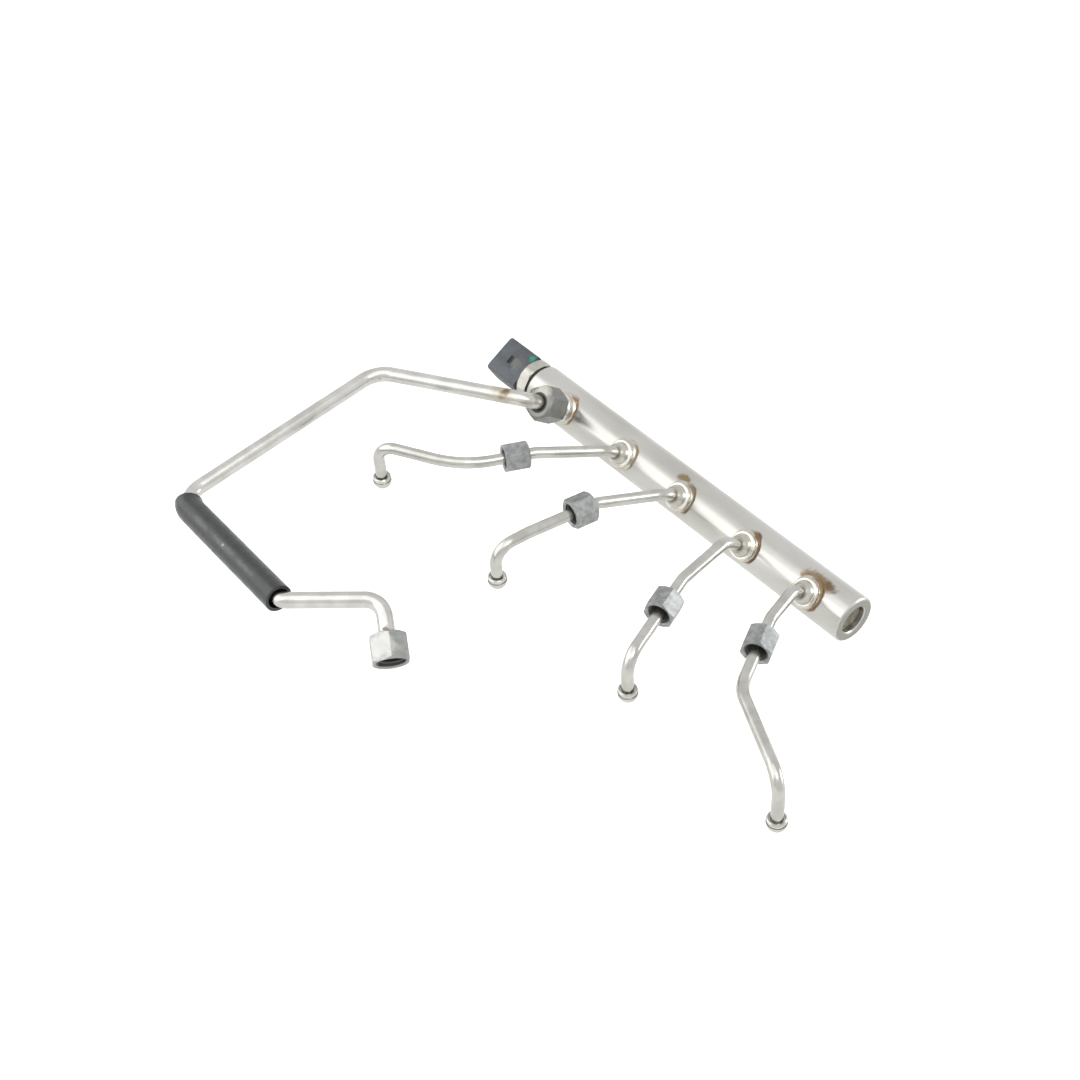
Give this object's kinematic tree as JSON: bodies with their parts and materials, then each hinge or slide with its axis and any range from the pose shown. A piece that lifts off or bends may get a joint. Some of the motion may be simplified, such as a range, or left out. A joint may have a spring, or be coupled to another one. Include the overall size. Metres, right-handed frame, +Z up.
{
  "type": "fuel rail",
  "caption": "High-pressure fuel rail with bent injector lines, loose union nuts, a feed pipe with a rubber sleeve and a pressure sensor.",
  "frame": {"origin": "on the rail tube's axis, at its plugged open end", "axes": "+X along the rail and out of that end, +Z up as it lies on a table, the injector lines reach to -Y"},
  "size_m": [0.3424, 0.2258, 0.0398],
  "materials": {
    "rail_steel": "satin",
    "fitting_steel": "satin",
    "plug_steel": "satin",
    "braze_filler": "satin",
    "line_steel": "satin",
    "zinc_nut": "satin",
    "dark_nut": "satin",
    "sleeve_rubber": "satin",
    "sensor_steel": "satin",
    "sensor_plastic": "matte",
    "terminal_tin": "satin"
  },
  "bodies": {
    "rail_assembly": {"rail_tube": "rail_steel", "end_plug": "plug_steel", "sensor_port": "fitting_steel", "inlet_boss": "fitting_steel", "outlet_boss_1": "fitting_steel", "outlet_braze_1": "braze_filler", "injector_line_1": "line_steel", "outlet_boss_2": "fitting_steel", "outlet_braze_2": "braze_filler", "injector_line_2": "line_steel", "outlet_boss_3": "fitting_steel", "outlet_braze_3": "braze_filler", "injector_line_3": "line_steel", "outlet_boss_4": "fitting_steel", "outlet_braze_4": "braze_filler", "injector_line_4": "line_steel", "inlet_braze": "braze_filler", "feed_pipe": "line_steel", "feed_nut_rail": "dark_nut", "feed_sleeve": "sleeve_rubber", "sensor_body": "sensor_steel", "sensor_connector": "sensor_plastic", "sensor_terminal_1": "terminal_tin", "sensor_terminal_2": "terminal_tin", "sensor_terminal_3": "terminal_tin"},
    "line_1_nut": {"injector_nut_1": "zinc_nut"},
    "line_2_nut": {"injector_nut_2": "zinc_nut"},
    "line_3_nut": {"injector_nut_3": "zinc_nut"},
    "line_4_nut": {"injector_nut_4": "zinc_nut"},
    "pump_nut": {"feed_nut_pump": "zinc_nut"}
  },
  "joints": [
    {"name": "line_1_nut_turn", "type": "hinge", "parent": "rail_assembly", "child": "line_1_nut", "pos_m": [-0.17989, -0.05973, 0.0158], "axis": [-0.4091, -0.9125, 0], "continuous": true},
    {"name": "line_2_nut_turn", "type": "hinge", "parent": "rail_assembly", "child": "line_2_nut", "pos_m": [-0.12916, -0.0595, 0.01457], "axis": [-0.149, -0.9885, -0.0248], "continuous": true},
    {"name": "line_3_nut_turn", "type": "hinge", "parent": "rail_assembly", "child": "line_3_nut", "pos_m": [-0.05313, -0.07407, 0.01609], "axis": [0.3608, -0.9319, -0.036], "continuous": true},
    {"name": "line_4_nut_turn", "type": "hinge", "parent": "rail_assembly", "child": "line_4_nut", "pos_m": [-0.00864, -0.0559, 0.01506], "axis": [0.4636, -0.8849, -0.0446], "continuous": true},
    {"name": "pump_nut_turn", "type": "hinge", "parent": "rail_assembly", "child": "pump_nut", "pos_m": [-0.12515, -0.18017, 0.002], "axis": [0.7817, -0.4405, -0.4415], "continuous": true}
  ]
}
